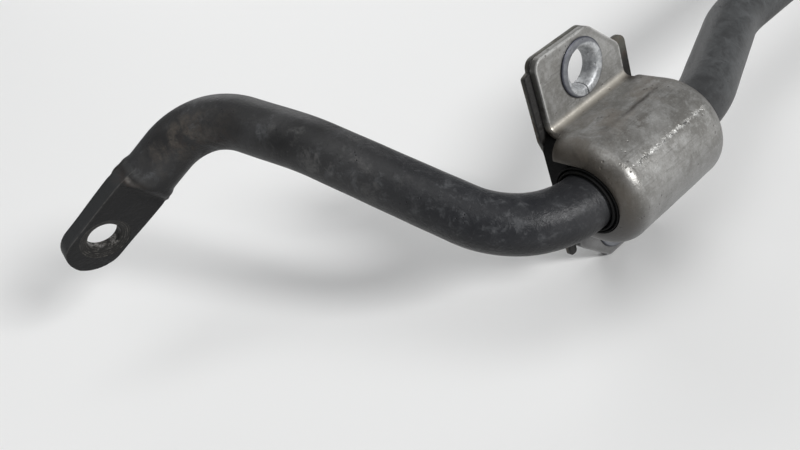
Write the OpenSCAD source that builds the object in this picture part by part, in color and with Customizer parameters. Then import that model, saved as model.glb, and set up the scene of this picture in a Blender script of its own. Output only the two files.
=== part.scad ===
// Sway bar with its two clamp brackets and rubber bushes, ready to bolt to a subframe.
// Frame: X points away from the mounting face, Y to the left-hand end, Z up. The origin is the
// centre of the four bracket bolts, on the face that meets the subframe. Millimetres.

/* [Bar] */
// Diameter of the round spring-steel bar
bar_d = 18; // [16:0.5:20]
// Distance between the middles of the two bushes
bush_spacing = 580; // [480:10:800]

/* [Eyes] */
// Thickness of the flattened end
eye_t = 6; // [5:0.5:7]
// Width of the flattened end
eye_w = 21.5; // [20:0.5:24]
// Diameter of the drop-link hole
eye_hole_d = 11.6; // [8.4:0.2:13]
// Flat length behind the hole
eye_flat = 20; // [16:1:24]
// How far the round tip is centred beyond the hole
eye_tip = 4.5; // [0:0.5:6]

/* [Brackets] */
// Outer radius of the pressed barrel
barrel_r = 17.5; // [17:0.25:19]
// Length of the barrel along the bar
barrel_l = 46; // [42:1:50]
// Radius of the turned-in barrel ends
lip_r = 6; // [5:0.25:7]
// Radius of the barrel's end openings
opening_r = 11.5; // [11:0.25:12]
// Thickness of the pressed shell
shell_t = 2.5; // [2:0.25:2.75]
// Thickness of the back plate
back_t = 2; // [1.5:0.25:2.5]
// Height of the bar axis above the mounting face
axis_height = 17.5; // [17:0.25:19]
// Width of the bolt ears along the bar
ear_w = 35; // [32:1:38]
// Height of the upper ear above the bar axis
ear_top = 40; // [38:0.5:44]
// Depth of the lower ear below the bar axis
ear_bottom = 37.5; // [36:0.5:42]
// Size of the cut-off corner on each ear
ear_chamfer = 11.5; // [6:0.5:12]
// Height of the upper bolt hole above the bar axis
upper_hole = 29.5; // [28:0.5:32]
// Depth of the lower bolt hole below the bar axis
lower_hole = 27; // [26:0.5:30]

/* [Eyelets] */
// Bolt hole diameter
bolt_hole_d = 11; // [8.4:0.2:11.4]
// Outer diameter of the eyelet's barrel
eyelet_d = 14; // [13:0.5:15]
// Diameter of the eyelet's flared rim
rim_d = 18; // [16:0.5:18.5]
// Thickness of the flared rim
rim_t = 0.8; // [0.6:0.1:1.2]

/* [Hidden] */
$fn = 96;
right = -1;
left = 1;

bar_r = bar_d / 2;
// Clearance of the bar in its bush, and of parts that are assembled into one another
bush_gap = 0.05;
part_gap = 0.05;
// Height of the bar axis: the bolt pattern is centred on Z = 0
axis_z = (lower_hole - upper_hole) / 2;

// Where the straight runs of one half of the bar would meet, from the bush middle:
// X away from the mounting face, Y outboard, Z up. The last point is the eye's hole.
mid_run = [-18.5, -bush_spacing / 2, 3.5];
bend_points = [[-18.5, -84, 3.5], [0, -35.5, 0], [0, 46, 0], [-65, 67, 33], [-103.5, 80, 46.5]];
bend_radii = [45, 45, 30, 75, 30];
eye_point = [-125, 124.5, 20];
// Direction that the outer face of the eye looks in
eye_facing = [0.88, 0.14, -0.46];
// Length over which the round bar is forged down to the flat
eye_neck = 10;
// Cold bending swells the bar a little; each straight run reaches this far into the bends
bend_r = bar_r + 0.15;
bend_reach = 0.3;

// Bush: end collars, groove between them and their reach beyond the barrel
bush_wall = part_gap;
outer_collar_r = 11.2;
inner_collar_r = 10.2;
groove_r = 10.7;
outer_collar_end = barrel_l / 2 + 0.3;
inner_collar_end = barrel_l / 2 + 1;
groove_depth = 2;
// The bore opens out over this length at each end
lead_in = 1.2;

// Bracket: the barrel's ends stop this far behind the bar axis, clear of the ears
end_trim = 9.5;
corner_r = 3.5;
face_x = -axis_height;
back_front_x = face_x + back_t;
ear_front_x = back_front_x + shell_t;

function unit(v) = v / norm(v);

// Corner i of an outline as an arc of radius r[i], tangent to both edges
function corner_arc(p, r, i, steps = 5) =
    let (
        n = len(p),
        a = unit(p[(i + n - 1) % n] - p[i]),
        b = unit(p[(i + 1) % n] - p[i]),
        half = acos(a * b) / 2,
        centre = p[i] + unit(a + b) * r[i] / sin(half),
        from = p[i] + a * r[i] / tan(half) - centre,
        to = p[i] + b * r[i] / tan(half) - centre
    )
    r[i] == 0 ? [p[i]] : [
        for (k = [0 : steps])
            let (w = k / steps, s = 90 - half)
            centre + (sin((1 - w) * 2 * s) * from + sin(w * 2 * s) * to) / sin(2 * s)
    ];

function rounded(p, r) = [for (i = [0 : len(p) - 1]) each corner_arc(p, r, i)];

// The bar as a bender makes it: feed a straight length, turn the bar, bend it, and go on from
// there. The current frame has Z along the bar; x, y and z are its axes in the half's frame.
module bent_bar(points, radii, x, y, z, start_offset = 0, i = 1) {
    feed = points[i] - points[i - 1];
    start = i == 1 ? 0 : -bend_reach;
    if (i == len(points) - 1) {
        to_eye = norm(feed) - start_offset;
        translate([0, 0, start])
            cylinder(r = bar_r, h = to_eye - eye_flat - eye_neck - start + 0.5);
        translate([0, 0, to_eye])
            rotate([0, 0, atan2(eye_facing * y, eye_facing * x)])
                eye();
    } else {
        next = unit(points[i + 1] - points[i]);
        roll = atan2(next * y, next * x);
        turn = acos(next * z);
        radius = radii[i - 1];
        tangent = radius * tan(turn / 2);
        run = norm(feed) - start_offset - tangent;
        towards = cos(roll) * x + sin(roll) * y;
        translate([0, 0, start]) cylinder(r = bar_r, h = run - start + bend_reach);
        translate([0, 0, run]) rotate([0, 0, roll]) translate([radius, 0, 0]) {
            rotate([90, 0, 180])
                rotate_extrude(angle = turn) translate([radius, 0]) circle(r = bend_r);
            rotate([0, turn, 0]) translate([-radius, 0, 0])
                bent_bar(
                    points, radii,
                    cos(turn) * towards - sin(turn) * z,
                    cos(roll) * y - sin(roll) * x,
                    cos(turn) * z + sin(turn) * towards,
                    tangent, i + 1
                );
        }
    }
}

// The forged eye: X looks out of its face, Z runs along the arm, the hole is at the origin
module eye() {
    difference() {
        union() {
            rotate([0, 90, 0]) translate([0, 0, -eye_t / 2]) linear_extrude(eye_t) {
                translate([-eye_tip, 0]) circle(d = eye_w);
                translate([-eye_tip, -eye_w / 2]) square([eye_tip + eye_flat, eye_w]);
            }
            hull() {
                translate([-eye_t / 2, -eye_w / 2, -eye_flat]) cube([eye_t, eye_w, 0.5]);
                translate([0, 0, -eye_flat - eye_neck]) cylinder(r = bar_r - 0.02, h = 0.5, $fn = 32);
            }
        }
        rotate([0, 90, 0]) cylinder(d = eye_hole_d, h = 4 * eye_t, center = true);
    }
}

module bar() {
    color("#3a3d42")
        for (side = [right, left])
            place(side)
                translate(mid_run) rotate([-90, 0, 0])
                    bent_bar(
                        concat([mid_run], bend_points, [eye_point]), bend_radii,
                        [1, 0, 0], [0, 0, -1], [0, 1, 0]
                    );
}

// Puts a part made about the bush middle (Y outboard) on the right or left side
module place(side) {
    translate([axis_height, side * bush_spacing / 2, axis_z])
        mirror([0, side == right ? 1 : 0, 0])
            children();
}

// Half-round barrel along Y with rounded ends, its straight sides running back to the plate
module bucket(radius, half_l, end_r, depth) {
    rotate([90, 0, 0]) rotate([0, 0, -90])
        rotate_extrude(angle = 180) intersection() {
            rounded_rectangle(radius, half_l, end_r);
            translate([0, -half_l]) square([radius, 2 * half_l]);
        }
    rotate([0, -90, 0]) linear_extrude(depth) rounded_rectangle(radius, half_l, end_r);
}

module rounded_rectangle(half_w, half_l, r) {
    square([2 * half_w, 2 * (half_l - r)], center = true);
    square([2 * (half_w - r), 2 * half_l], center = true);
    for (x = [-1, 1], y = [-1, 1])
        translate([x * (half_w - r), y * (half_l - r)]) circle(r = r);
}

// Outline of the pressed shell's ears: Y outboard, Z up
function ear_outline(half_w) = rounded(
    [
        [half_w, ear_top], [-half_w + ear_chamfer, ear_top], [-half_w, ear_top - ear_chamfer],
        [-half_w, -ear_bottom], [half_w - ear_chamfer, -ear_bottom],
        [half_w, -ear_bottom + ear_chamfer]
    ],
    [corner_r, corner_r, corner_r, corner_r, corner_r, corner_r]
);

// Outline of the back plate: the ears again, with a wing on either side and a narrow tooth
function back_outline(half_w) = rounded(
    [
        [half_w, ear_top], [-half_w + ear_chamfer, ear_top],
        [-half_w + 0.5, ear_top - ear_chamfer + 0.5],
        [-half_w - 6, ear_top - ear_chamfer + 0.5], [-half_w - 6, -14], [-half_w - 4.5, -18],
        [-half_w - 4.5, 6 - ear_bottom], [-half_w, 6 - ear_bottom],
        [-half_w, -ear_bottom], [half_w - ear_chamfer, -ear_bottom],
        [half_w - 1, 10.5 - ear_bottom], [half_w - 1, 16 - ear_bottom],
        [half_w - 0.3, 16 - ear_bottom], [half_w - 0.3, 9 - ear_bottom],
        [half_w + 2.8, 9 - ear_bottom], [half_w + 2.8, 15 - ear_bottom],
        [half_w + 1.3, 18 - ear_bottom], [half_w + 1.3, 10], [half_w + 2.5, 14.5],
        [half_w + 2.5, ear_top - 4.2], [half_w, ear_top - 3.4]
    ],
    [
        3, corner_r, 1, 3, 3, 3, 1.5, 1.5, corner_r, corner_r,
        1.5, 0.3, 0.3, 1.2, 1.2, 2, 2, 3, 3, 1, 0.4
    ]
);

// Extrudes a Y-Z outline towards +X from the given X
module plate(from_x, thickness) {
    translate([from_x, 0, 0]) rotate([90, 0, 90]) linear_extrude(thickness) children();
}

module bolt_holes(d) {
    for (z = [upper_hole, -lower_hole])
        translate([face_x - 1, 0, z]) rotate([0, 90, 0])
            cylinder(d = d, h = back_t + shell_t + 4);
}

// The pressed clamp: a barrel over the bush, and an ear above and below it
module bracket_shell(side) {
    inner_r = barrel_r - shell_t;
    depth = -back_front_x;
    color("#9fa09c") place(side) difference() {
        union() {
            difference() {
                bucket(barrel_r, barrel_l / 2, lip_r, depth);
                for (y = [-1, 1])
                    translate([-depth - 1, y * barrel_l / 2, 0])
                        cube(
                            [2 * (depth + 1 - end_trim), barrel_l - ear_w, 3 * barrel_r],
                            center = true
                        );
            }
            plate(back_front_x, shell_t) polygon(ear_outline(ear_w / 2));
        }
        bucket(inner_r, barrel_l / 2 - shell_t, lip_r - shell_t, depth + 1);
        rotate([90, 0, 0]) cylinder(r = opening_r, h = 2 * barrel_l, center = true);
        translate([-depth - 1, -barrel_l, -opening_r])
            cube([depth + 1, 2 * barrel_l, 2 * opening_r]);
        bolt_holes(eyelet_d + 2 * part_gap);
    }
}

// The flat closing plate against the subframe
module back_plate(side) {
    color("#6f6e66") place(side) difference() {
        plate(face_x, back_t) polygon(back_outline(ear_w / 2));
        bolt_holes(eyelet_d + 2 * part_gap);
    }
}

// The rubber bush: it fills the barrel and is flat against the back plate
module bush(side) {
    color("#1b1b1c") place(side) difference() {
        bucket(
            barrel_r - shell_t - bush_wall, barrel_l / 2 - shell_t - bush_wall,
            lip_r - shell_t, -back_front_x - part_gap
        );
        rotate([90, 0, 0])
            cylinder(r = inner_collar_r - 0.5, h = 2 * barrel_l, center = true);
    }
    color("#1b1b1c") place(side) rotate([90, 0, 0]) bush_sleeve();
}

// The round middle of the bush: its bore, and an outer and an inner collar at each end
module bush_sleeve() {
    bore_r = bar_r + bush_gap;
    half = [
        [bore_r, inner_collar_end - lead_in], [bore_r + lead_in / 2, inner_collar_end],
        [inner_collar_r, inner_collar_end], [inner_collar_r, outer_collar_end - groove_depth],
        [groove_r, outer_collar_end - groove_depth], [groove_r, outer_collar_end],
        [outer_collar_r, outer_collar_end], [outer_collar_r, barrel_l / 2 - lip_r]
    ];
    rotate_extrude()
        polygon(concat(half, [for (i = [len(half) - 1 : -1 : 0]) [half[i].x, -half[i].y]]));
}

// The flared steel eyelet that holds both plates together round a bolt hole
module eyelet(side, z) {
    color("#c3c6c8") place(side) translate([face_x, 0, z]) rotate([90, 0, 90])
        rotate_extrude()
            polygon([
                [bolt_hole_d / 2, 0],
                [eyelet_d / 2, 0],
                [eyelet_d / 2, back_t + shell_t + part_gap],
                [rim_d / 2, back_t + shell_t + part_gap],
                [rim_d / 2 - 0.3, back_t + shell_t + rim_t],
                [bolt_hole_d / 2 + 1, back_t + shell_t + rim_t],
                [bolt_hole_d / 2, back_t + shell_t + rim_t - 1]
            ]);
}

bar();
bush(right);  // right_bush
bracket_shell(right);  // right_bracket_shell
back_plate(right);  // right_back_plate
eyelet(right, upper_hole);  // right_upper_eyelet
eyelet(right, -lower_hole);  // right_lower_eyelet
bush(left);  // left_bush
bracket_shell(left);  // left_bracket_shell
back_plate(left);  // left_back_plate
eyelet(left, upper_hole);  // left_upper_eyelet
eyelet(left, -lower_hole);  // left_lower_eyelet
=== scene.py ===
import math

import bmesh
import bpy
import numpy as np
from mathutils import Matrix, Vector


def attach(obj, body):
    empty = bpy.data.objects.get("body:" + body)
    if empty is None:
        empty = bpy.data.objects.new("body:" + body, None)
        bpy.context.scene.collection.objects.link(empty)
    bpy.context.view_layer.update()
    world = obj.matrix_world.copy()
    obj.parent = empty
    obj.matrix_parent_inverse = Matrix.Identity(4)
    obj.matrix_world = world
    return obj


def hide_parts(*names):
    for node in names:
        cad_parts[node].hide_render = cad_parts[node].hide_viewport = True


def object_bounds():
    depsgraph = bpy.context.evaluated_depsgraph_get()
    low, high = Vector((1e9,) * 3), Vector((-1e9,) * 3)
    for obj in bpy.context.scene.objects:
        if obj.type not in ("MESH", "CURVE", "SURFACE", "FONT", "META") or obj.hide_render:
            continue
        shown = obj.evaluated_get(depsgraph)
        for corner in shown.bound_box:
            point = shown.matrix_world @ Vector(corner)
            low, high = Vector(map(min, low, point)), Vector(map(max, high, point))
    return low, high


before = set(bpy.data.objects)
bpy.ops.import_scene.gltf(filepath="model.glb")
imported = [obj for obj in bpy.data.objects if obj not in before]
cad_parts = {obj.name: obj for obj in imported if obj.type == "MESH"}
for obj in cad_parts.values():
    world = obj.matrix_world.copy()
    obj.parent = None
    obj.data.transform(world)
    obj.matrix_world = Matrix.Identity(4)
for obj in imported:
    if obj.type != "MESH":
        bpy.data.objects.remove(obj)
cad_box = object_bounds()

# ---------------------------------------------------------------------------------------------
# The place: a pale floor under the lowest ear, a soft light from the front, a large one
# overhead, a weak one behind, and a camera that looks down over the right-hand bracket to the eye.
# ---------------------------------------------------------------------------------------------

FLOOR_DROP = 0.0004
floor_z = cad_box[0][2] - FLOOR_DROP

floor_mesh = bpy.data.meshes.new("floor")
floor_mesh.from_pydata(
    [(-4, -4, floor_z), (4, -4, floor_z), (4, 4, floor_z), (-4, 4, floor_z)], [], [(0, 1, 2, 3)]
)
floor = bpy.data.objects.new("floor", floor_mesh)
bpy.context.collection.objects.link(floor)
floor_finish = bpy.data.materials.new("pale_floor")
floor_finish.use_nodes = True
floor_finish.node_tree.nodes["Principled BSDF"].inputs["Base Color"].default_value = (
    0.84, 0.84, 0.835, 1,
)
floor_finish.node_tree.nodes["Principled BSDF"].inputs["Roughness"].default_value = 0.7
floor_mesh.materials.append(floor_finish)

sky = bpy.data.worlds.new("studio")
sky.use_nodes = True
sky.node_tree.nodes["Background"].inputs["Color"].default_value = (0.96, 0.98, 1, 1)
sky.node_tree.nodes["Background"].inputs["Strength"].default_value = 0.22
bpy.context.scene.world = sky
bpy.context.scene.view_settings.view_transform = "Standard"


def soft_light(name, kind, place, aim, strength, **shape):
    """A light of this kind at place, turned so that it shines at aim. Strength is in watts, or
    in watts a square metre for a sun."""
    lamp = bpy.data.lights.new(name, kind)
    lamp.energy = strength
    for key, value in shape.items():
        setattr(lamp, key, value)
    light = bpy.data.objects.new(name, lamp)
    bpy.context.collection.objects.link(light)
    back = np.array(place, float) - np.array(aim, float)
    back /= np.linalg.norm(back)
    side = np.cross((0, 0, 1), back)
    side /= np.linalg.norm(side)
    up = np.cross(back, side)
    light.matrix_world = Matrix(
        [[*row, at] for row, at in zip(np.column_stack([side, up, back]), place)] + [[0, 0, 0, 1]]
    )


soft_light("key", "SUN", (1.95, 0.14, 0.92), (0.01, -0.29, 0), 2.9, angle=math.radians(13))
soft_light("overhead", "AREA", (0.3, -0.5, 1.7), (0, -0.2, 0), 12, size=1.6)
soft_light("rear", "AREA", (-1.5, 0.6, 0.9), (0, 0, 0), 8, size=1.2)

camera = bpy.data.objects.new("camera", bpy.data.cameras.new("camera"))
bpy.context.collection.objects.link(camera)
camera.data.lens, camera.data.sensor_width = 36, 36
camera.data.clip_start, camera.data.clip_end = 0.01, 20
# Where the camera stands, in metres, and the ways that its right side and its back face
camera_at = (0.161, -0.4495, 0.1305)
camera_right = np.array((0.609, 0.726, -0.321))
camera_back = np.array((0.754, -0.403, 0.518))
camera_right /= np.linalg.norm(camera_right)
camera_back -= camera_right * (camera_back @ camera_right)
camera_back /= np.linalg.norm(camera_back)
camera_up = np.cross(camera_back, camera_right)
camera.matrix_world = Matrix(
    [
        [*row, at]
        for row, at in zip(np.column_stack([camera_right, camera_up, camera_back]), camera_at)
    ]
    + [[0, 0, 0, 1]]
)
bpy.context.scene.camera = camera

# ---------------------------------------------------------------------------------------------
# The bar: one length of round spring steel, bent cold, with each end forged flat and pierced
# for the drop link. It is coated in satin charcoal paint, which is scuffed along the outside
# of the bends and lets rust through where the ends were forged.
# ---------------------------------------------------------------------------------------------

BAR_R = 9.0
BUSH_AT = np.array((17.5, 290.0, -1.25))
MID_RUN = (-18.5, -290.0, 3.5)
BENDS = ((-18.5, -84, 3.5), (0, -35.5, 0), (0, 46, 0), (-65, 67, 33), (-103.5, 80, 46.5))
BEND_RADII = (45, 45, 30, 75, 30)
EYE_HOLE = (-125, 124.5, 20)
EYE_FACING = (0.88, 0.14, -0.46)
EYE_HALF_W, EYE_HALF_T, EYE_HOLE_R, EYE_TIP = 10.75, 3.0, 5.8, 4.5


def unit(v):
    """Vectors divided by their lengths."""
    v = np.asarray(v, float)
    return v / np.linalg.norm(v, axis=-1, keepdims=True)


def bar_line(corners, radii, step=2.2, turn_step=1.3):
    """Points along straight runs that meet at corners, each corner replaced by an arc of its
    radius: c + R (cos t u + sin t w), where u points from the arc's centre to its start."""
    corners = np.asarray(corners, float)
    pieces, start = [], corners[0]
    for before, at, after, radius in zip(corners, corners[1:], corners[2:], radii):
        into, out = unit(at - before), unit(after - at)
        turn = math.acos(float(into @ out))
        enter = at - into * radius * math.tan(turn / 2)
        centre = enter + radius * unit(out - into * (into @ out))
        count = max(2, round(np.linalg.norm(enter - start) / step))
        pieces.append(start + np.linspace(0, 1, count, endpoint=False)[:, None] * (enter - start))
        t = np.linspace(0, turn, max(6, round(radius * turn / turn_step)), endpoint=False)[:, None]
        pieces.append(centre + radius * (np.cos(t) * unit(enter - centre) + np.sin(t) * into))
        start = at + out * radius * math.tan(turn / 2)
    return pieces, start, corners[-1]


def rounded_box_radius(angle, half_w, half_t, corner):
    """How far a rounded rectangle's edge is from its middle in the direction of angle: the
    nearer flat side where the ray meets one, or else the corner circle."""
    c, s = np.abs(np.cos(angle)), np.abs(np.sin(angle))
    to_side = half_w / np.maximum(c, 1e-9)
    to_face = half_t / np.maximum(s, 1e-9)
    cx, cy = half_w - corner, half_t - corner
    along = cx * c + cy * s
    to_corner = along + np.sqrt(np.maximum(along**2 - cx**2 - cy**2 + corner**2, 0))
    return np.where(to_side * s <= cy, to_side, np.where(to_face * c <= cx, to_face, to_corner))


def skin(name, grid, around=False, rows_close=False, capped=False, fields=None, faces_on=None):
    """A mesh over a grid of points (rows, columns, 3) in millimetres. Every face joins two
    rows and two columns; around joins the last column to the first, and rows_close the last
    row to the first. capped fills the open ends with flat faces. fields are values per point,
    and faces_on says which faces are made."""
    rows, cols = grid.shape[:2]
    r = np.arange(rows if rows_close else rows - 1)[:, None]
    c = np.arange(cols if around else cols - 1)[None, :]
    a, b = r * cols + c, r * cols + (c + 1) % cols
    d, e = ((r + 1) % rows) * cols + c, ((r + 1) % rows) * cols + (c + 1) % cols
    quads = np.stack([a, b, e, d], -1)
    quads = quads[faces_on] if faces_on is not None else quads.reshape(-1, 4)
    mesh = bpy.data.meshes.new(name)
    mesh.from_pydata((grid.reshape(-1, 3) * 0.001).tolist(), [], quads.tolist())
    for field, values in (fields or {}).items():
        layer = mesh.attributes.new(field, "FLOAT", "POINT")
        layer.data.foreach_set("value", np.ascontiguousarray(values, np.float32).ravel())
    shape = bmesh.new()
    shape.from_mesh(mesh)
    loose = [v for v in shape.verts if not v.link_faces]
    bmesh.ops.delete(shape, geom=loose, context="VERTS")
    bmesh.ops.remove_doubles(shape, verts=shape.verts, dist=2e-6)
    bmesh.ops.dissolve_degenerate(shape, edges=shape.edges, dist=1e-7)
    if capped:
        bmesh.ops.holes_fill(shape, edges=shape.edges, sides=0)
    bmesh.ops.recalc_face_normals(shape, faces=shape.faces)
    shape.to_mesh(mesh)
    shape.free()
    piece = bpy.data.objects.new(name, mesh)
    bpy.context.collection.objects.link(piece)
    return piece


def lathe(profile, centre, axis, up, turns=72):
    """A grid that turns a closed profile of (distance along the axis, radius) round axis."""
    profile = np.asarray(profile, float)
    axis = unit(axis)
    across = unit(np.cross(axis, up))
    lift = np.cross(across, axis)
    t = np.linspace(0, 2 * math.pi, turns, endpoint=False)[None, :, None]
    ring = np.cos(t) * lift + np.sin(t) * across
    return np.asarray(centre) + profile[:, 0][:, None, None] * axis + profile[:, 1][:, None, None] * ring


def bake_modifiers(piece):
    """Replaces the piece's mesh by what its modifiers make of it, and removes them."""
    made = bpy.data.meshes.new_from_object(piece.evaluated_get(bpy.context.evaluated_depsgraph_get()))
    old, piece.data = piece.data, made
    piece.modifiers.clear()
    bpy.data.meshes.remove(old)
    made.name = piece.name


def pierce(piece, grids, finish=0):
    """Cuts closed turned shapes out of a piece: its holes and the recesses round them. The cut
    faces take the piece's material of this number."""
    cutters = [skin("cutter", g, around=True, rows_close=True) for g in grids]
    for cutter in cutters:
        cutter.data.polygons.foreach_set("material_index", [finish] * len(cutter.data.polygons))
        cut = piece.modifiers.new("cut", "BOOLEAN")
        cut.operation, cut.solver, cut.object = "DIFFERENCE", "EXACT", cutter
    bpy.context.view_layer.update()
    bake_modifiers(piece)
    for cutter in cutters:
        mesh = cutter.data
        bpy.data.objects.remove(cutter)
        bpy.data.meshes.remove(mesh)


def smooth(piece, degrees=32):
    """Smooth shading, with edges sharper than this angle kept crisp."""
    piece.data.shade_smooth()
    piece.data.set_sharp_from_angle(angle=math.radians(degrees))


def ease(lo, hi, x):
    """0 below lo, 1 above hi, and 3t^2 - 2t^3 between them."""
    t = np.clip((x - lo) / (hi - lo), 0, 1)
    return t * t * (3 - 2 * t)


def half_bar():
    """The right half's centre line from the middle of the bar to the eye's tip, its normals,
    and for each point the distance from the eye's hole, positive towards the bar."""
    flip = np.array((1, -1, 1.0))
    pieces, start, hole = bar_line([MID_RUN, *BENDS, EYE_HOLE], BEND_RADII)
    arm = unit(hole - start)
    rows_back = np.array([40.0, *np.linspace(38, 12, 53), *np.linspace(11.6, -4, 40)])
    back = np.linalg.norm(hole - start) - rows_back
    pieces.append(start + np.linspace(0, 1, 8, endpoint=False)[:, None] * (back[0] * arm))
    pieces.append(start + back[:, None] * arm)
    round_tip = EYE_TIP + EYE_HALF_W * np.sin(np.linspace(0, math.pi / 2, 26))
    pieces.append(hole + round_tip[:, None] * arm)
    line = np.concatenate(pieces)
    ahead = unit(np.gradient(line, axis=0))
    facing = unit(EYE_FACING)
    normal = unit(facing - ahead * (ahead @ facing)[:, None])
    to_eye = np.linalg.norm(np.diff(line, axis=0), axis=1)
    from_middle = np.concatenate([[0], np.cumsum(to_eye)])
    station = from_middle[-1] - EYE_TIP - EYE_HALF_W - from_middle
    return (BUSH_AT + line) * flip, ahead * flip, normal * flip, station


line, ahead, normal, station = half_bar()
mirrored = np.array((1, -1, 1.0))
line = np.concatenate([line[::-1], (line * mirrored)[1:]])
normal = np.concatenate([normal[::-1], (normal * mirrored)[1:]])
ahead = np.concatenate([-ahead[::-1], (ahead * mirrored)[1:]])
station = np.concatenate([station[::-1], station[1:]])

flat = 1 - ease(19, 28.5, station)
shoulder = np.exp(-(((station - 26.6) / 1.5) ** 2))
tip = np.sqrt(np.clip(EYE_HALF_W**2 - np.clip(-station - EYE_TIP, 0, None) ** 2, 0.0004, None))
half_w = np.minimum(BAR_R + flat * (EYE_HALF_W - BAR_R) + 0.75 * shoulder, tip)
half_t = BAR_R + ease(0, 0.92, flat) * (EYE_HALF_T + 0.5 * ease(-2, 20, station) - BAR_R)
edge_r = np.minimum(BAR_R + ease(0.02, 0.75, flat) * (0.9 - BAR_R), 0.999 * np.minimum(half_w, half_t))

angle = np.linspace(0, 2 * math.pi, 112, endpoint=False)
reach = rounded_box_radius(angle[None, :], half_w[:, None], half_t[:, None], edge_r[:, None])
across = np.cross(ahead, normal)
ripple = 0.035 * np.sin(station[:, None] * 0.31 + 2 * np.sin(angle * 2)) * np.sin(
    station[:, None] * 0.117 + angle * 3
)
reach = reach + ripple * ease(22, 34, station)[:, None]
bar_grid = (
    line[:, None]
    + (reach * np.cos(angle))[..., None] * across[:, None]
    + (reach * np.sin(angle))[..., None] * normal[:, None]
)
bar_fields = {
    "station": np.repeat(station[:, None], len(angle), 1),
    "facing": np.sin(angle)[None, :] * np.ones((len(station), 1)),
}
bar = skin("sway_bar", bar_grid, around=True, capped=True, fields=bar_fields)

eye_cut = [
    (-9, 1e-4), (-9, 8.9), (-EYE_HALF_T + 0.12, 8.9), (-EYE_HALF_T + 0.4, 8.3), (-EYE_HALF_T + 0.45, 7.2),
    (-EYE_HALF_T + 1.3, EYE_HOLE_R), (EYE_HALF_T - 1.3, EYE_HOLE_R), (EYE_HALF_T - 0.45, 7.2),
    (EYE_HALF_T - 0.4, 8.3), (EYE_HALF_T - 0.12, 8.9), (9, 8.9), (9, 1e-4),
]
eye_cutters = []
for side in (-1, 1):
    centre = (BUSH_AT + np.array(EYE_HOLE)) * (1, side, 1)
    facing = unit(EYE_FACING) * (1, side, 1)
    eye_cutters.append(lathe(eye_cut, centre, facing, (0, 0, 1), 96))


class Wire:
    """A shader value. Arithmetic on wires adds the Math nodes that work it out, and node()
    adds any other node: its type, its settings, then its sockets' values or wires."""

    def __init__(self, tree, socket=None):
        self.tree, self.socket = tree, socket

    def node(self, kind, settings=None, sockets=None, out=0):
        made = self.tree.nodes.new(kind)
        for key, value in (settings or {}).items():
            if key == "stops":
                ramp = made.color_ramp
                while len(ramp.elements) < len(value):
                    ramp.elements.new(1)
                for stop, (at, colour) in zip(ramp.elements, value):
                    stop.position, stop.color = at, colour
            else:
                setattr(made, key, value)
        for key, value in (sockets or {}).items():
            if isinstance(value, Wire):
                self.tree.links.new(value.socket, made.inputs[key])
            elif value is not None:
                made.inputs[key].default_value = value
        return Wire(self.tree, made.outputs[out] if len(made.outputs) else None)

    def maths(self, operation, *values):
        return self.node("ShaderNodeMath", {"operation": operation}, dict(enumerate(values)))

    def __add__(self, other):
        return self.maths("ADD", self, other)

    def __sub__(self, other):
        return self.maths("SUBTRACT", self, other)

    def __mul__(self, other):
        return self.maths("MULTIPLY", self, other)

    __radd__, __rmul__ = __add__, __mul__

    def size(self):
        return self.maths("ABSOLUTE", self)

    def most(self, other):
        return self.maths("MAXIMUM", self, other)

    def step(self, lo, hi):
        """0 at lo, 1 at hi, and smooth between them; lo may be above hi."""
        return self.node(
            "ShaderNodeMapRange", {"interpolation_type": "SMOOTHSTEP"},
            {"Value": self, "From Min": lo, "From Max": hi, "To Min": 0.0, "To Max": 1.0},
        )

    def line(self, at, width):
        """1 at this value, falling smoothly to 0 at width to either side."""
        return (self - at).size().step(width, 0)

    def blend(self, low, high):
        """The colour low where this is 0, and high where it is 1."""
        return self.node(
            "ShaderNodeMix", {"data_type": "RGBA"}, {0: self, 6: low, 7: high}, 2
        )

    def parts(self):
        """The X, Y and Z of a vector, as three wires."""
        split = self.node("ShaderNodeSeparateXYZ", None, {0: self})
        return split, Wire(self.tree, split.socket.node.outputs[1]), Wire(
            self.tree, split.socket.node.outputs[2]
        )

    def place(self, scale=(1, 1, 1), turn=(0, 0, 0), move=(0, 0, 0)):
        return self.node(
            "ShaderNodeMapping", None,
            {"Vector": self, "Scale": scale, "Rotation": turn, "Location": move},
        )

    def cloud(self, scale, detail=4.0, rough=0.55, warp=0.0):
        """Fractal noise, from 0 to 1 with a middle near 0.5; scale is in cycles a metre."""
        return self.node(
            "ShaderNodeTexNoise", None,
            {"Vector": self, "Scale": scale, "Detail": detail, "Roughness": rough, "Distortion": warp},
        )

    def cells(self, scale, random=1.0):
        """Distance to the nearest of points scattered at scale a metre."""
        return self.node(
            "ShaderNodeTexVoronoi", None, {"Vector": self, "Scale": scale, "Randomness": random}
        )


class Finish:
    """A material on the surface it is put on: its tree, its object coordinates, its shader."""

    def __init__(self, name):
        self.material = bpy.data.materials.new(name)
        self.material.use_nodes = True
        self.tree = self.material.node_tree
        self.tree.nodes.clear()
        self.start = Wire(self.tree)
        self.at = self.start.node("ShaderNodeTexCoord", None, None, 3)

    def field(self, name):
        """A value stored on the piece's points."""
        return self.start.node("ShaderNodeAttribute", {"attribute_name": name}, None, 2)

    def done(self, colour, rough, metal, height=None, bump_mm=0.1, **constants):
        """Joins colour, roughness, metallic and height to the shader, and sets the rest."""
        sockets = {"Base Color": colour, "Roughness": rough, "Metallic": metal, **constants}
        if height is not None:
            sockets["Normal"] = self.start.node(
                "ShaderNodeBump", None,
                {"Strength": 1.0, "Distance": bump_mm * 0.001, "Height": height},
            )
        shader = self.start.node("ShaderNodeBsdfPrincipled", None, sockets)
        self.start.node("ShaderNodeOutputMaterial", None, {"Surface": shader})
        return self.material


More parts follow.
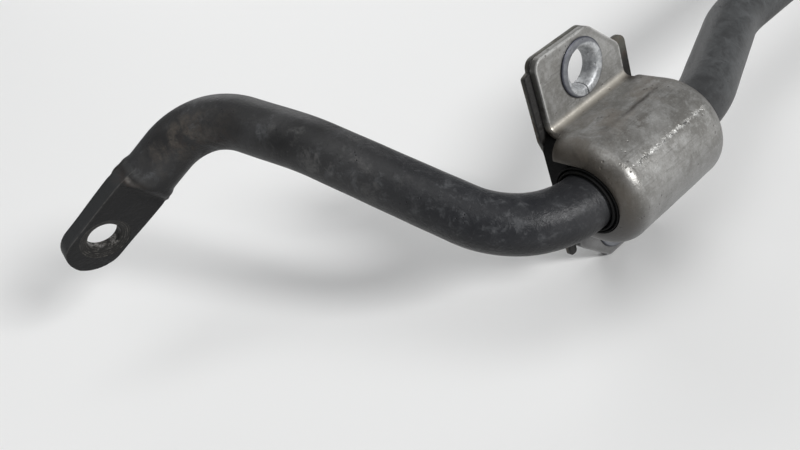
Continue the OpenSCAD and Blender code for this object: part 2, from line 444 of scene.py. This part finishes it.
def bar_paint():
    """Satin charcoal paint: cloudy, with pale scuffs and dark specks, rust round the forged
    ends and the hump, and darker paint on the eyes. Painted light: the far run lighter, pale
    flecks of painted highlight by the bush, the eyes' side walls lighter, painted highlights on
    their corners and shoulders, and painted shade on all that faces down."""
    coat = Finish("bar_paint")
    at, station, facing = coat.at, coat.field("station"), coat.field("facing")
    z = at.parts()[2]
    clouds = at.cloud(38, 5, 0.6, 0.6)
    mottle = at.cloud(210, 7, 0.7, 0.5)
    grain = at.cloud(1500, 3, 0.6)
    hammer = at.cloud(560, 5, 0.62, 0.6)
    upward = coat.start.node("ShaderNodeTexCoord", None, None, 1).parts()[2]
    specks = at.cells(620).step(0.2, 0.06) * at.cloud(90, 2).step(0.47, 0.62)
    chalk = mottle.step(0.5, 0.68) * clouds.step(0.4, 0.58)
    scuffs = at.place((1, 0.35, 1), (0.3, 0.2, 0.4)).cloud(420, 7, 0.74, 1.4).step(0.57, 0.7) * chalk
    colour = clouds.step(0.3, 0.72).blend((0.0165, 0.0165, 0.017, 1), (0.036, 0.036, 0.0368, 1))
    colour = (station.line(165, 60) * 0.6).blend(colour, (0.011, 0.012, 0.0155, 1))
    # Painted light: the far run made lighter all over, in mottled patches.
    far_painted_light = station.step(225, 262) * (mottle.step(0.36, 0.64) * 0.5 + 0.3)
    colour = far_painted_light.blend(colour, (0.072, 0.075, 0.077, 1))
    colour = (chalk * 0.5).blend(colour, (0.075, 0.078, 0.082, 1))
    colour = (scuffs * 0.5).blend(colour, (0.15, 0.152, 0.154, 1))
    patches = station.line(112, 42) * facing.step(-0.6, 0.1) * at.cloud(150, 8, 0.72, 0.3).step(0.5, 0.68)
    colour = (patches * 0.55).blend(colour, (0.105, 0.104, 0.102, 1))
    # Painted highlights: pale flecks that stand for the glossy paint's mottled glints round the bush.
    painted_glint_flecks = station.line(165, 62) * hammer.step(0.52, 0.66) * mottle.step(0.42, 0.58)
    colour = (painted_glint_flecks * 0.32).blend(colour, (0.1, 0.102, 0.107, 1))
    arm = station.line(54, 30) * facing.step(-0.3, 0.3) * at.cloud(190, 8, 0.72, 0.2).step(0.4, 0.68)
    colour = (arm * 0.7).blend(colour, (0.08, 0.07, 0.06, 1))
    eye = station.step(31, 25)
    colour = (eye * 0.75).blend(colour, (0.0085, 0.008, 0.0077, 1))
    # Painted light: the eye's narrow side walls made lighter than its flat faces.
    wall = eye * facing.size().step(0.3, 0.22)
    colour = (wall * 0.85).blend(colour, (0.026, 0.027, 0.028, 1))
    # A painted highlight along the corners between the eye's walls and faces.
    corner = eye * facing.size().line(0.275, 0.03) * hammer.step(0.3, 0.6)
    colour = (corner * 0.6).blend(colour, (0.09, 0.088, 0.085, 1))
    # A painted highlight on the shoulder where the eye's flat begins.
    rubbed = station.line(24.9, 1.3) * (facing.line(0.34, 0.15) + facing.step(0.3, 0.42) * 0.25)
    colour = (rubbed * hammer.step(0.3, 0.55) * 0.75).blend(colour, (0.16, 0.15, 0.14, 1))
    rust_at = (station.line(24, 5) * 0.5).most(station.line(62, 24) * z.step(0.052, 0.036))
    rust = rust_at * at.cloud(150, 7, 0.72, 0.8).step(0.44, 0.66)
    colour = (rust * 0.7).blend(colour, (0.036, 0.024, 0.018, 1))
    colour = (specks * 0.8).blend(colour, (0.004, 0.004, 0.0045, 1))
    # Painted shade on all that faces down.
    colour = (upward.step(0.15, -0.6) * 0.85).blend(colour, (0.004, 0.004, 0.0045, 1))
    glossy = station.line(160, 55)
    rough = clouds * 0.14 + mottle * 0.34 + rust * 0.25 + eye * 0.12 - glossy * 0.06 + 0.17
    height = mottle * 0.6 + hammer * (glossy * 0.5 + 0.35) + grain * 0.12
    height = height + rust * 0.3 + eye * mottle * 0.9 - specks * 0.4
    return coat.done(colour, rough, 0.0, height, 0.3, **{"Specular IOR Level": 0.2})


def worn_steel():
    """Dark forged steel round the eye's hole, scuffed by the link's shoulder, with a bore that
    the stud has polished in places. radius is the distance from the hole's axis."""
    bare = Finish("worn_steel")
    x, y, z = bare.at.parts()
    hole = (BUSH_AT + np.array(EYE_HOLE)) * 0.001
    look = unit(EYE_FACING)
    off = [x - float(hole[0]), y.size() - float(hole[1]), z - float(hole[2])]
    deep = off[0] * float(look[0]) + off[1] * float(look[1]) + off[2] * float(look[2])
    square = off[0] * off[0] + off[1] * off[1] + off[2] * off[2] - deep * deep
    radius = square.most(0.0).maths("SQRT", square.most(0.0))
    bore = radius.step(0.0063, 0.0059)
    marks = bare.at.cloud(900, 5, 0.7, 0.5)
    ring = bare.at.cloud(520, 6, 0.7, 0.2)
    swirl = radius * 8500.0 + ring * 6.0
    turned = swirl.maths("SINE", swirl).step(-0.2, 0.9)
    scuffed = marks.step(0.4, 0.6) * ring.step(0.38, 0.56) * turned
    polished = bore * ring.step(0.48, 0.6) * bare.at.cloud(210, 3).step(0.42, 0.56)
    colour = (scuffed * 0.8).blend((0.006, 0.0056, 0.0052, 1), (0.09, 0.085, 0.078, 1))
    colour = (polished * 0.8).blend(colour, (0.3, 0.29, 0.28, 1))
    rough = marks * 0.3 - polished * 0.22 + 0.36
    return bare.done(
        colour, rough, (scuffed * 0.4).most(polished), marks + ring * 0.5, 0.2, **{"Specular IOR Level": 0.25}
    )


bar.data.materials.append(bar_paint())
bar.data.materials.append(worn_steel())
pierce(bar, eye_cutters, 1)
smooth(bar, 30)
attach(bar, "bar")
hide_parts("bar")

# ---------------------------------------------------------------------------------------------
# The bushes: moulded black rubber blocks, round in front and flat behind, that fill the
# brackets. At each end an inner collar grips the bar and an outer one seals the opening.
# ---------------------------------------------------------------------------------------------

SIDES = {"right": -1, "left": 1}
BUSH_R, BUSH_HALF, BUSH_CORNER, BUSH_BACK = 14.95, 20.45, 3.5, 15.45
BUSH_Y = float(BUSH_AT[1]) * 0.001


def in_bracket(grid, side):
    """A grid made about the bush's middle, Y outboard, put in its place on that side."""
    return BUSH_AT * (1, side, 1) + np.asarray(grid) * (1, side, 1)


def barrel_outline(radius, back, turns):
    """Points (x, z) and outward normals of a half-round in front with straight sides to back:
    the round part is radius (cos t, sin t), and the rest runs along the sides and the back."""
    t = np.linspace(-math.pi / 2, math.pi / 2, turns)
    deep = np.linspace(0, back, 9)[1:-1]
    x = [radius * np.cos(t), -deep, np.full(9, -back), -deep[::-1]]
    z = [radius * np.sin(t), np.full(7, radius), np.linspace(radius, -radius, 9), np.full(7, -radius)]
    nx = [np.cos(t), np.zeros(7), np.zeros(9), np.zeros(7)]
    nz = [np.sin(t), np.ones(7), np.sign(np.linspace(1, -1, 9)), -np.ones(7)]
    return [np.concatenate(v) for v in (x, z, nx, nz)]


def bush_rubber():
    """Matt black rubber: fine moulded grain, a grey bloom, and dust that sits in the grooves."""
    coat = Finish("bush_rubber")
    bloom = coat.at.cloud(140, 5, 0.6, 0.4)
    grain = coat.at.cloud(2600, 3, 0.6)
    dust = coat.at.cloud(420, 6, 0.7).step(0.5, 0.72)
    colour = bloom.step(0.35, 0.7).blend((0.004, 0.004, 0.0042, 1), (0.009, 0.009, 0.009, 1))
    colour = (dust * 0.35).blend(colour, (0.022, 0.02, 0.017, 1))
    return coat.done(
        colour, bloom * 0.2 + dust * 0.15 + 0.58, 0.0, grain + bloom * 0.6, 0.12,
        **{"Specular IOR Level": 0.08},
    )


rubber = bush_rubber()
for side_name, side in SIDES.items():
    ox, oz, onx, onz = barrel_outline(BUSH_R, BUSH_BACK, 56)
    heading = np.arctan2(oz, ox)
    fillet = np.linspace(0, math.pi / 2, 8)
    block = [(BUSH_HALF - BUSH_CORNER * (1 - math.sin(a)), BUSH_CORNER * (1 - math.cos(a))) for a in fillet]
    mid = [(y, 0.0) for y in np.linspace(-14, 14, 9)]
    block_rows = [(-y, i) for y, i in block[::-1]] + mid + block
    rows = [
        np.stack([ox - onx * inset, np.full_like(ox, y), oz - onz * inset], -1) for y, inset in block_rows
    ]
    collar = [
        (20.45, 11.25), (23.0, 11.22), (23.22, 11.12), (23.3, 10.95), (23.22, 10.75), (22.9, 10.68),
        (21.4, 10.6), (21.3, 10.4), (21.4, 10.22), (23.6, 10.2), (23.86, 10.12), (23.97, 9.9),
        (23.95, 9.7), (23.6, 9.45), (22.9, 9.14), (20, 9.1),
    ]
    ring = [(y, r) for y, r in collar] + [(-y, r) for y, r in collar[::-1]]
    circle = [
        np.stack([r * np.cos(heading), np.full_like(ox, y), r * np.sin(heading)], -1) for y, r in ring
    ]
    bush_grid = in_bracket(np.stack(rows + circle), side)
    bush = skin(f"{side_name}_bush_rubber", bush_grid, around=True, rows_close=True)
    bush.data.materials.append(rubber)
    smooth(bush, 40)
    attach(bush, f"{side_name}_mount")
    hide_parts(f"{side_name}_bush")

# ---------------------------------------------------------------------------------------------
# The pressed shells: zinc-plated sheet steel drawn into a barrel with turned-in ends and an ear
# above and below. The plating is dull, scratched along the barrel, and brown where dirt sits.
# ---------------------------------------------------------------------------------------------

BARREL_R, BARREL_HALF, BARREL_CORNER, SHEET = 17.5, 23.0, 6.0, 2.5
EAR_FRONT, EAR_HALF, EAR_TOP, EAR_BOTTOM = -13.0, 17.5, 40.0, 37.5
EAR_CUT, FOLD_R, END_TRIM = 11.5, 2.0, -9.5
UPPER_HOLE, LOWER_HOLE = 29.5, -27.0


def rounded_outline(corners, radii, steps=6):
    """A polygon with each corner replaced by an arc that touches both its sides."""
    corners = np.asarray(corners, float)
    points = []
    for before, at, after, radius in zip(np.roll(corners, 1, 0), corners, np.roll(corners, -1, 0), radii):
        a, b = unit(before - at), unit(after - at)
        half = math.acos(float(np.clip(a @ b, -1, 1))) / 2
        centre = at + unit(a + b) * radius / math.sin(half)
        start, end = at + a * radius / math.tan(half), at + b * radius / math.tan(half)
        w, sweep = np.linspace(0, 1, steps)[:, None], math.pi - 2 * half
        arc = np.sin((1 - w) * sweep) * (start - centre) + np.sin(w * sweep) * (end - centre)
        points.append(centre + arc / math.sin(sweep))
    return np.concatenate(points)


EAR_CORNERS = [
    (EAR_HALF, EAR_TOP), (-EAR_HALF + EAR_CUT, EAR_TOP), (-EAR_HALF, EAR_TOP - EAR_CUT),
    (-EAR_HALF, -EAR_BOTTOM), (EAR_HALF - EAR_CUT, -EAR_BOTTOM), (EAR_HALF, -EAR_BOTTOM + EAR_CUT),
]
ear_line = rounded_outline(EAR_CORNERS, [3.5] * 6, 9)


def ear_span(z):
    """The least and the greatest Y of the ear's outline at each height."""
    closed = np.concatenate([ear_line, ear_line[:1]])
    a, b = closed[:-1], closed[1:]
    z = np.clip(np.asarray(z, float), -EAR_BOTTOM + 1e-4, EAR_TOP - 1e-4)
    crosses = (a[:, 1] - z[:, None]) * (b[:, 1] - z[:, None]) <= 0
    with np.errstate(divide="ignore", invalid="ignore"):
        y = a[:, 0] + (z[:, None] - a[:, 1]) * (b[:, 0] - a[:, 0]) / (b[:, 1] - a[:, 1])
    y = np.where(crosses & np.isfinite(y), y, np.nan)
    return np.nanmin(y, 1), np.nanmax(y, 1)


def half_profile(top):
    """From the ear's free edge to the front of the barrel: down the ear, round the fold, along
    the side and round a quarter circle. Returns x, z and the outward normal, for z above 0."""
    edge = top - 3.6 * (1 - np.cos(np.linspace(0, math.pi / 2, 9)))
    ear_z = np.concatenate([edge, np.linspace(edge[-1], BARREL_R + FOLD_R, 17)[1:]])
    fold = np.linspace(0, math.pi / 2, 8)[1:]
    side_x = np.concatenate(
        [np.linspace(EAR_FRONT + FOLD_R, END_TRIM, 4)[1:], np.linspace(END_TRIM, 0, 8)[1:]]
    )
    arc = np.linspace(math.pi / 2, 0, 34)[1:]
    x = [
        np.full_like(ear_z, EAR_FRONT), EAR_FRONT + FOLD_R * (1 - np.cos(fold)), side_x,
        BARREL_R * np.cos(arc),
    ]
    z = [
        ear_z, BARREL_R + FOLD_R * (1 - np.sin(fold)), np.full_like(side_x, BARREL_R),
        BARREL_R * np.sin(arc),
    ]
    nx = [np.ones_like(ear_z), np.cos(fold), np.zeros_like(side_x), np.cos(arc)]
    nz = [np.zeros_like(ear_z), np.sin(fold), np.ones_like(side_x), np.sin(arc)]
    return [np.concatenate(v) for v in (x, z, nx, nz)]


def shell_grid():
    """The pressing's outer face: rows follow the profile from the upper to the lower ear, and
    columns run along the bar. The barrel's ends turn in by R (1 - cos a) as Y grows by R sin a.
    Also returns the length along the profile, and the distance to the ear's edge."""
    ux, uz, unx, unz = half_profile(EAR_TOP)
    lx, lz, lnx, lnz = half_profile(EAR_BOTTOM)
    px = np.concatenate([ux, lx[::-1][1:]])
    pz = np.concatenate([uz, -lz[::-1][1:]])
    nx = np.concatenate([unx, lnx[::-1][1:]])
    nz = np.concatenate([unz, -lnz[::-1][1:]])
    flat_y = np.linspace(-1, 1, 45)
    end_a = np.linspace(math.asin(0.5 / BARREL_CORNER), math.pi / 2, 11)[1:]
    end_y = BARREL_HALF - BARREL_CORNER * (1 - np.sin(end_a))
    end_in = BARREL_CORNER * (1 - np.cos(end_a))
    low, high = ear_span(pz)
    on_ear = px < EAR_FRONT + 1e-6
    low, high = np.where(on_ear, low, -EAR_HALF), np.where(on_ear, high, EAR_HALF)
    middle = (low + high)[:, None] / 2 + flat_y * (high - low)[:, None] / 2
    wide = np.ones_like(px)[:, None]
    y = np.concatenate([-end_y[::-1] * wide, middle, end_y * wide], 1)
    inset = np.concatenate([end_in[::-1], np.zeros(len(flat_y)), end_in])[None, :] * wide
    grid = np.stack([px[:, None] - nx[:, None] * inset, y, pz[:, None] - nz[:, None] * inset], -1)
    wrap = np.concatenate([[0], np.cumsum(np.hypot(np.diff(px), np.diff(pz)))])
    to_end = np.where(pz > 0, EAR_TOP - pz, EAR_BOTTOM + pz)[:, None]
    to_side = np.minimum(y - low[:, None], high[:, None] - y)
    margin = np.where(np.abs(pz)[:, None] > BARREL_R + FOLD_R, np.minimum(to_end, to_side), 9.0)
    barrel = px >= END_TRIM - 1e-6
    column = np.arange(y.shape[1] - 1)
    outer = (column < len(end_a)) | (column >= len(column) - len(end_a))
    faces_on = (barrel[:-1] & barrel[1:])[:, None] | ~outer[None, :]
    dents = 0.05 * np.sin(wrap[:, None] * 0.21 + y * 0.19) * np.sin(y * 0.33 - wrap[:, None] * 0.13 + 1)
    grid[..., 0] += nx[:, None] * dents * (pz[:, None] < 16)
    grid[..., 2] += nz[:, None] * dents * (np.abs(pz[:, None]) < 16)
    return grid, wrap, margin, faces_on


def shell_zinc():
    """Dull zinc plating: cloudy greys, fine pits, pale and dark scratches that run along the
    barrel, brown dirt below the upper fold and at the cut ends, and edges made bright, as rubbed
    plating and a painted highlight. Also a painted highlight along the upper fold, and painted
    shade on the ear's edges, inside the sides near the back, and on the lower part."""
    coat = Finish("shell_zinc")
    at, wrap = coat.at, coat.field("wrap")
    x, y, z = at.parts()
    along = y.size() - BUSH_Y
    clouds = at.cloud(70, 5, 0.6, 0.5)
    mottle = at.cloud(330, 6, 0.68, 0.4)
    grain = at.cloud(2400, 3, 0.6)
    drawn = at.place((1, 0.09, 1)).cloud(1300, 4, 0.6)
    pits = at.cells(520).step(0.24, 0.1) * at.cloud(150, 3).step(0.5, 0.64)
    margin = coat.field("margin")
    colour = clouds.step(0.3, 0.7).blend((0.165, 0.16, 0.149, 1), (0.28, 0.276, 0.265, 1))
    colour = (mottle.step(0.42, 0.68) * 0.5).blend(colour, (0.36, 0.36, 0.352, 1))
    colour = (drawn.step(0.54, 0.7) * 0.4).blend(colour, (0.11, 0.106, 0.098, 1))
    salt = at.cloud(1500, 4, 0.7)
    colour = (salt.step(0.56, 0.68) * 0.4).blend(colour, (0.09, 0.085, 0.077, 1))
    colour = (salt.step(0.44, 0.34) * 0.25).blend(colour, (0.45, 0.45, 0.44, 1))
    dirt = wrap.line(33, 14) * at.cloud(120, 6, 0.7, 0.6).step(0.4, 0.62)
    colour = (dirt * 0.7).blend(colour, (0.082, 0.067, 0.05, 1))
    # A painted highlight along the upper fold.
    fold = wrap.line(22.3, 2.6)
    colour = (fold * 0.75).blend(colour, (0.5, 0.465, 0.4, 1))
    inside_edge = margin.line(1.5, 1.1) * clouds.step(0.3, 0.6)
    colour = (inside_edge * 0.3).blend(colour, (0.09, 0.087, 0.08, 1))
    # The ear's edges made bright: rubbed plating and a painted highlight.
    rubbed_and_highlit_edge = margin.step(0.75, 0.25) * mottle.step(0.34, 0.5)
    colour = (rubbed_and_highlit_edge * 0.5).blend(colour, (0.6, 0.6, 0.585, 1))
    # Painted shade on the ear's edge faces and back face.
    sheared = x.step(0.0043, 0.0036) * z.size().step(0.018, 0.021)
    colour = (sheared * 0.75).blend(colour, (0.045, 0.042, 0.034, 1))
    # Darkened brown just past the upper fold, towards both ends of the barrel.
    dark_brown_past_fold = wrap.line(25, 4.5) * along.size().step(0.0125, 0.0172) * mottle.step(0.25, 0.5)
    colour = (dark_brown_past_fold * 0.85).blend(colour, (0.028, 0.021, 0.015, 1))
    wobble = at.cloud(130, 4, 0.6) * 3.0
    streak = (wrap + wobble).line(38.0, 1.5) * along.line(-0.005, 0.02) * mottle.step(0.3, 0.42)
    smudge = wrap.line(42, 5) * along.line(0.004, 0.014) * at.cloud(260, 6, 0.72).step(0.47, 0.6)
    colour = (smudge * 0.6).blend(colour, (0.07, 0.06, 0.048, 1))
    gouge = (wrap + at.cloud(700, 3) * 1.6).line(51.4, 0.9) * along.size().step(0.019, 0.012)
    gouge = gouge * at.cloud(420, 5, 0.7).step(0.44, 0.56)
    colour = (streak * 0.95).blend(colour, (0.026, 0.022, 0.018, 1))
    colour = (gouge * 0.8).blend(colour, (0.6, 0.6, 0.58, 1))
    dark_gouge = gouge * at.cloud(620, 4).step(0.47, 0.53)
    colour = (dark_gouge * 0.9).blend(colour, (0.03, 0.028, 0.026, 1))
    colour = (pits * 0.85).blend(colour, (0.05, 0.046, 0.04, 1))
    # The barrel's turned ends darker, most towards the bottom.
    ends = along.size().step(0.0155, 0.0215) * (z.step(0.012, -0.006) * 0.35 + 0.3)
    colour = ends.blend(colour, (0.06, 0.055, 0.047, 1))
    mouth = along.size().step(0.0188, 0.0225) * clouds.step(0.2, 0.5)
    colour = (mouth * 0.8).blend(colour, (0.075, 0.062, 0.048, 1))
    # Painted shade: the lower part made darker and bluish.
    under = z.step(0.006, -0.016) * 0.72
    colour = under.blend(colour, (0.058, 0.059, 0.062, 1))
    # Painted shade on the inner face of the sides near the back, against the rubber.
    back = x.step(0.0085, 0.005) * z.size().step(0.017, 0.0155)
    colour = (back * 0.8).blend(colour, (0.03, 0.02, 0.014, 1))
    rough = clouds * 0.14 + mottle * 0.2 + salt * 0.1 + dirt * 0.25 + pits * 0.2 + 0.13
    metal = (dirt + pits + streak + under).step(1.1, 0.1) * 0.5
    height = mottle * 0.4 + drawn * 0.3 + grain * 0.12 + salt * 0.3 - pits * 0.9 - streak * 0.4 - gouge * 0.8
    return coat.done(colour, rough, metal, height, 0.16)


zinc = shell_zinc()
HOLE_R = 7.04
HOLE_CUT = [(-30, 1e-4), (-30, HOLE_R), (0, HOLE_R), (0, 1e-4)]
for side_name, side in SIDES.items():
    grid, wrap, margin, faces_on = shell_grid()
    fields = {"wrap": np.repeat(wrap[:, None], grid.shape[1], 1), "margin": margin}
    shell = skin(f"{side_name}_pressed_shell", in_bracket(grid, side), fields=fields, faces_on=faces_on)
    heading = np.array([p.normal.x for p in shell.data.polygons])
    if heading.sum() < 0:
        shell.data.flip_normals()
    wall = shell.modifiers.new("sheet", "SOLIDIFY")
    wall.thickness, wall.offset, wall.use_even_offset = SHEET * 0.001, -1, True
    edges = shell.modifiers.new("rubbed_edges", "BEVEL")
    edges.width, edges.segments, edges.limit_method = 0.00035, 2, "ANGLE"
    edges.angle_limit = math.radians(50)
    bake_modifiers(shell)
    shell.data.materials.append(zinc)
    pierce(shell, [
        lathe(HOLE_CUT, in_bracket((5, 0, z), side), (1, 0, 0), (0, 0, 1), 64)
        for z in (UPPER_HOLE, LOWER_HOLE)
    ])
    smooth(shell, 38)
    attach(shell, f"{side_name}_mount")
    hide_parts(f"{side_name}_bracket_shell")

# ---------------------------------------------------------------------------------------------
# The back plates: flat blanks of thinner plated steel that close the brackets against the
# subframe. Their plating has gone olive and dark, with rust along the sheared edges.
# ---------------------------------------------------------------------------------------------

PLATE_BACK, PLATE = -17.5, 2.0
plate_line = rounded_outline(
    [
        (17.5, 40), (-6, 40), (-17, 29), (-23.5, 29), (-23.5, -14), (-22, -18), (-22, -31.5),
        (-17.5, -31.5), (-17.5, -37.5), (6, -37.5), (16.5, -27), (16.5, -21.5), (17.2, -21.5),
        (17.2, -28.5), (20.3, -28.5), (20.3, -22.5), (18.8, -19.5), (18.8, 10), (20, 14.5),
        (20, 35.8), (17.5, 36.6),
    ],
    [3, 3.5, 1, 3, 3, 3, 1.5, 1.5, 3.5, 3.5, 1.5, 0.3, 0.3, 1.2, 1.2, 2, 2, 3, 3, 1, 0.4],
)


def plate_olive():
    """Old plating: dark olive grey, with brown rust creeping in from the edges, black painted
    shade with some dirt in the gap behind the barrel, and a few bright rubs."""
    coat = Finish("plate_olive")
    at = coat.at
    x, y, z = at.parts()
    clouds = at.cloud(110, 5, 0.62, 0.6)
    mottle = at.cloud(480, 6, 0.68)
    rust = at.cloud(190, 6, 0.7, 0.7).step(0.47, 0.64)
    along = y.size() - BUSH_Y
    edge = along.size().step(0.0165, 0.0195)
    colour = clouds.step(0.32, 0.7).blend((0.05, 0.048, 0.038, 1), (0.11, 0.108, 0.092, 1))
    colour = (mottle.step(0.5, 0.72) * 0.5).blend(colour, (0.19, 0.187, 0.17, 1))
    colour = (rust * (edge * 0.6 + 0.25)).blend(colour, (0.075, 0.036, 0.017, 1))
    # Painted shade with some dirt on the plate's front face: black in the gap behind the barrel and outboard,
    # faint elsewhere.
    hidden = z.step(0.027, 0.018).most(along.step(0.012, 0.017)) * 0.85 + 0.15
    shade_and_dirt = x.step(0.0004, 0.0016) * hidden * clouds.step(0.1, 0.3)
    colour = shade_and_dirt.blend(colour, (0.006, 0.0052, 0.0045, 1))
    rough = clouds * 0.2 + rust * 0.25 + 0.38
    metal = (rust + shade_and_dirt).step(0.9, 0.0) * 0.55
    return coat.done(colour, rough, metal, mottle + rust * 0.7, 0.12)


olive = plate_olive()
for side_name, side in SIDES.items():
    flat_face = np.stack([np.full(len(plate_line), PLATE_BACK), plate_line[:, 0], plate_line[:, 1]], -1)
    front_face = flat_face + (PLATE, 0, 0)
    points = in_bracket(np.concatenate([flat_face, front_face]), side) * 0.001
    n = len(plate_line)
    k = np.arange(n)
    walls = np.stack([k, (k + 1) % n, (k + 1) % n + n, k + n], -1).tolist()
    plate_mesh = bpy.data.meshes.new(f"{side_name}_closing_plate")
    plate_mesh.from_pydata(points.tolist(), [], [k.tolist(), (k[::-1] + n).tolist(), *walls])
    plate = bpy.data.objects.new(f"{side_name}_closing_plate", plate_mesh)
    bpy.context.collection.objects.link(plate)
    blank = bmesh.new()
    blank.from_mesh(plate_mesh)
    bmesh.ops.recalc_face_normals(blank, faces=blank.faces)
    blank.to_mesh(plate_mesh)
    blank.free()
    edges = plate.modifiers.new("sheared_edges", "BEVEL")
    edges.width, edges.segments, edges.limit_method = 0.0003, 2, "ANGLE"
    edges.angle_limit = math.radians(60)
    bake_modifiers(plate)
    plate.data.materials.append(olive)
    pierce(plate, [
        lathe(HOLE_CUT, in_bracket((5, 0, z), side), (1, 0, 0), (0, 0, 1), 64)
        for z in (UPPER_HOLE, LOWER_HOLE)
    ])
    smooth(plate, 38)
    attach(plate, f"{side_name}_mount")
    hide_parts(f"{side_name}_back_plate")

# ---------------------------------------------------------------------------------------------
# The eyelets: strips of plated steel rolled into short tubes with a butted seam, pushed through
# both plates and flared over the ear, so that the bolts clamp on steel.
# ---------------------------------------------------------------------------------------------

EYELET_PROFILE = [
    (-17.42, 5.65), (-17.5, 5.9), (-17.5, 6.8), (-17.35, 6.98), (-13.05, 6.98), (-12.97, 7.1),
    (-12.97, 8.78), (-12.9, 8.94), (-12.72, 9.0), (-12.45, 8.93), (-12.28, 8.7), (-12.2, 8.3),
    (-12.19, 7.6), (-12.2, 6.95), (-12.3, 6.55), (-12.6, 6.15), (-13.1, 5.8), (-13.8, 5.58),
    (-14.6, 5.5), (-16.6, 5.5),
]
SEAM = math.radians(1.6)
HOLE_Z = (UPPER_HOLE + float(BUSH_AT[2])) * 0.001


def eyelet_zinc():
    """Brighter zinc: pitted and scuffed on the rim, with a dark bluish crescent on one side of
    it, and painted shade in the crevice round its edge."""
    coat = Finish("eyelet_zinc")
    at = coat.at
    x, y, z = at.parts()
    off_y, off_z = y.size() - BUSH_Y, z.size() - HOLE_Z
    radius = off_y.maths("POWER", off_y * off_y + off_z * off_z, 0.5)
    # An off-centre circle marks a dark bluish crescent on one side of the rim.
    in_y, in_z = off_y + 0.0010, off_z + 0.0011
    rubbed = off_y.maths("POWER", in_y * in_y + in_z * in_z, 0.5)
    mottle = at.cloud(650, 6, 0.7, 0.4)
    pits = at.cells(900).step(0.24, 0.08) * at.cloud(300, 3).step(0.48, 0.6)
    colour = mottle.step(0.35, 0.68).blend((0.27, 0.278, 0.285, 1), (0.5, 0.51, 0.52, 1))
    colour = (rubbed.step(0.0077, 0.0082) * 0.8).blend(colour, (0.1, 0.104, 0.118, 1))
    # Painted shade in the crevice where the rolled lip meets the ear.
    colour = (radius.step(0.0083, 0.0088) * 0.9).blend(colour, (0.035, 0.037, 0.05, 1))
    colour = (pits * 0.7).blend(colour, (0.12, 0.12, 0.13, 1))
    return coat.done(colour, mottle * 0.35 + pits * 0.2 + 0.26, 0.5, mottle * 0.8 - pits, 0.18)


bright_zinc = eyelet_zinc()
for side_name, side in SIDES.items():
    for level, z in (("upper", UPPER_HOLE), ("lower", LOWER_HOLE)):
        profile = np.array(EYELET_PROFILE)
        t = np.linspace(SEAM, 2 * math.pi - SEAM, 97)[None, :]
        px, pr = profile[:, 0][:, None], profile[:, 1][:, None]
        tube = np.stack([px + 0 * t, pr * np.sin(t), z - pr * np.cos(t)], -1)
        eyelet = skin(
            f"{side_name}_{level}_rolled_eyelet", in_bracket(tube, side), rows_close=True, capped=True
        )
        eyelet.data.materials.append(bright_zinc)
        smooth(eyelet, 35)
        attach(eyelet, f"{side_name}_mount")
        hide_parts(f"{side_name}_{level}_eyelet")
